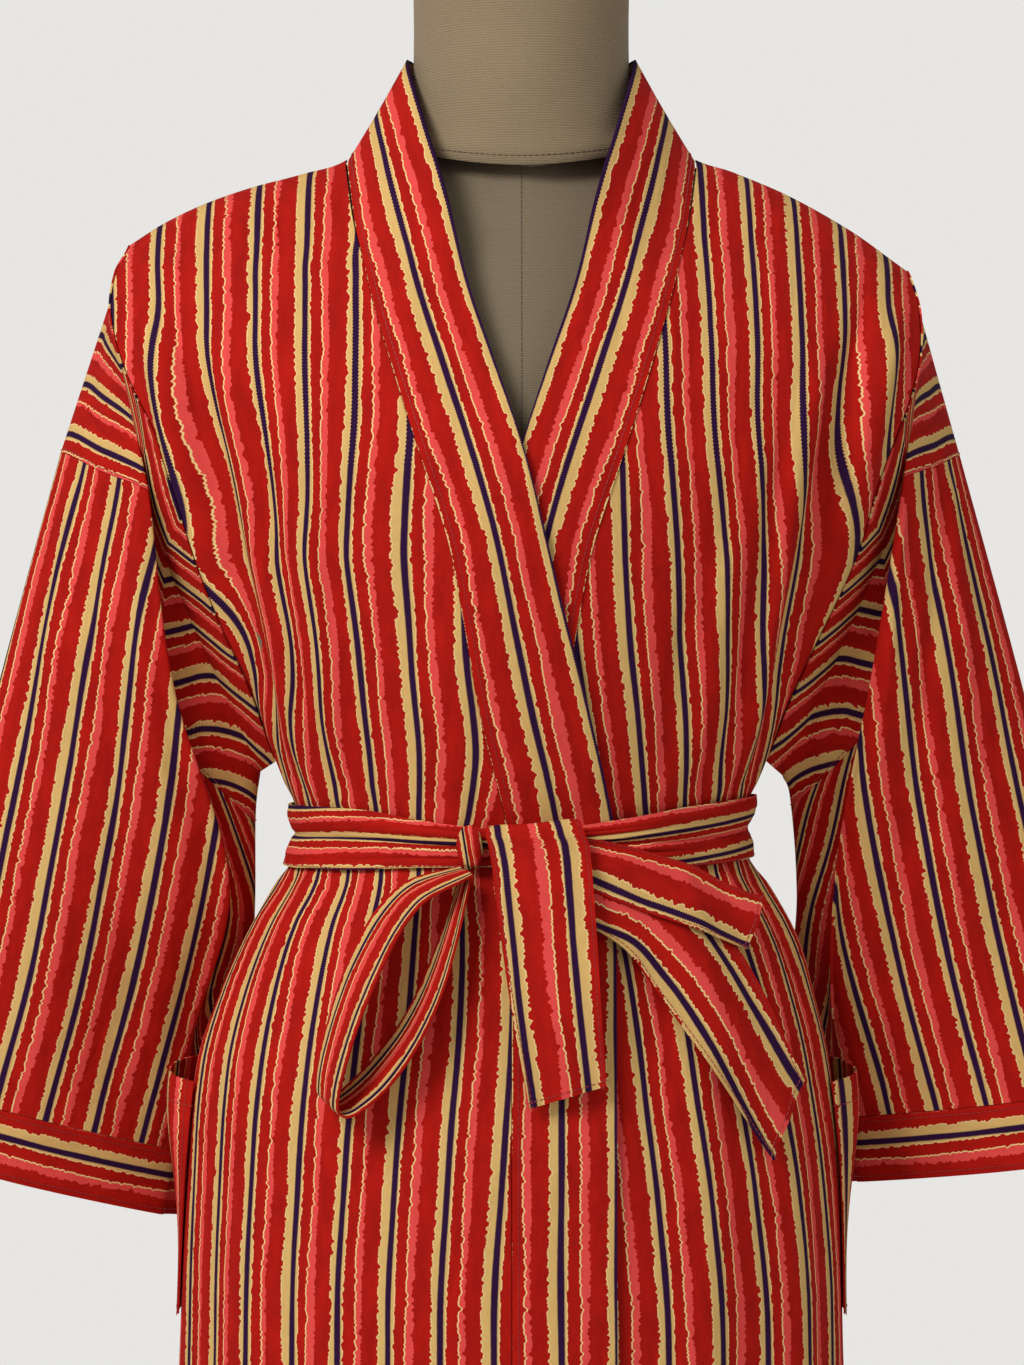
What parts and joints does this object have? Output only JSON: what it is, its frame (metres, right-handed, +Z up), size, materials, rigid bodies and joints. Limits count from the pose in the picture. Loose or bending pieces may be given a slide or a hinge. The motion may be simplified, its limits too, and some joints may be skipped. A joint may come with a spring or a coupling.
{
  "type": "kimono robe on a dress form",
  "caption": "Striped cotton kimono robe with wide cuffed sleeves, side pockets and a tied sash, worn by a limbless dress form on a pole stand.",
  "frame": {"origin": "centre of the underside of the stand's round base, on the floor", "axes": "+Z up along the pole, +X to the wearer's left, -Y the way the robe faces"},
  "size_m": [0.6904, 0.386, 1.508],
  "materials": {
    "striped_cotton": "matt printed cotton, striped in red, coral, cream and violet",
    "form_cover": "matt stretched jersey",
    "stand": "satin black paint"
  },
  "bodies": {
    "root": {"stand_base": "stand", "stand_pole": "stand", "dress_form": "form_cover", "back": "striped_cotton", "sash_round": "striped_cotton", "sash_knot": "striped_cotton", "sash_bow": "striped_cotton", "sash_end_centre": "striped_cotton", "sash_end_long": "striped_cotton", "sash_end_short": "striped_cotton", "band_back": "striped_cotton", "front_right": "striped_cotton", "band_right": "striped_cotton", "sleeve_top_right": "striped_cotton", "sleeve_right": "striped_cotton", "cuff_right": "striped_cotton", "pocket_right": "striped_cotton", "front_left": "striped_cotton", "band_left": "striped_cotton", "sleeve_top_left": "striped_cotton", "sleeve_left": "striped_cotton", "cuff_left": "striped_cotton", "pocket_left": "striped_cotton"}
  },
  "joints": []
}
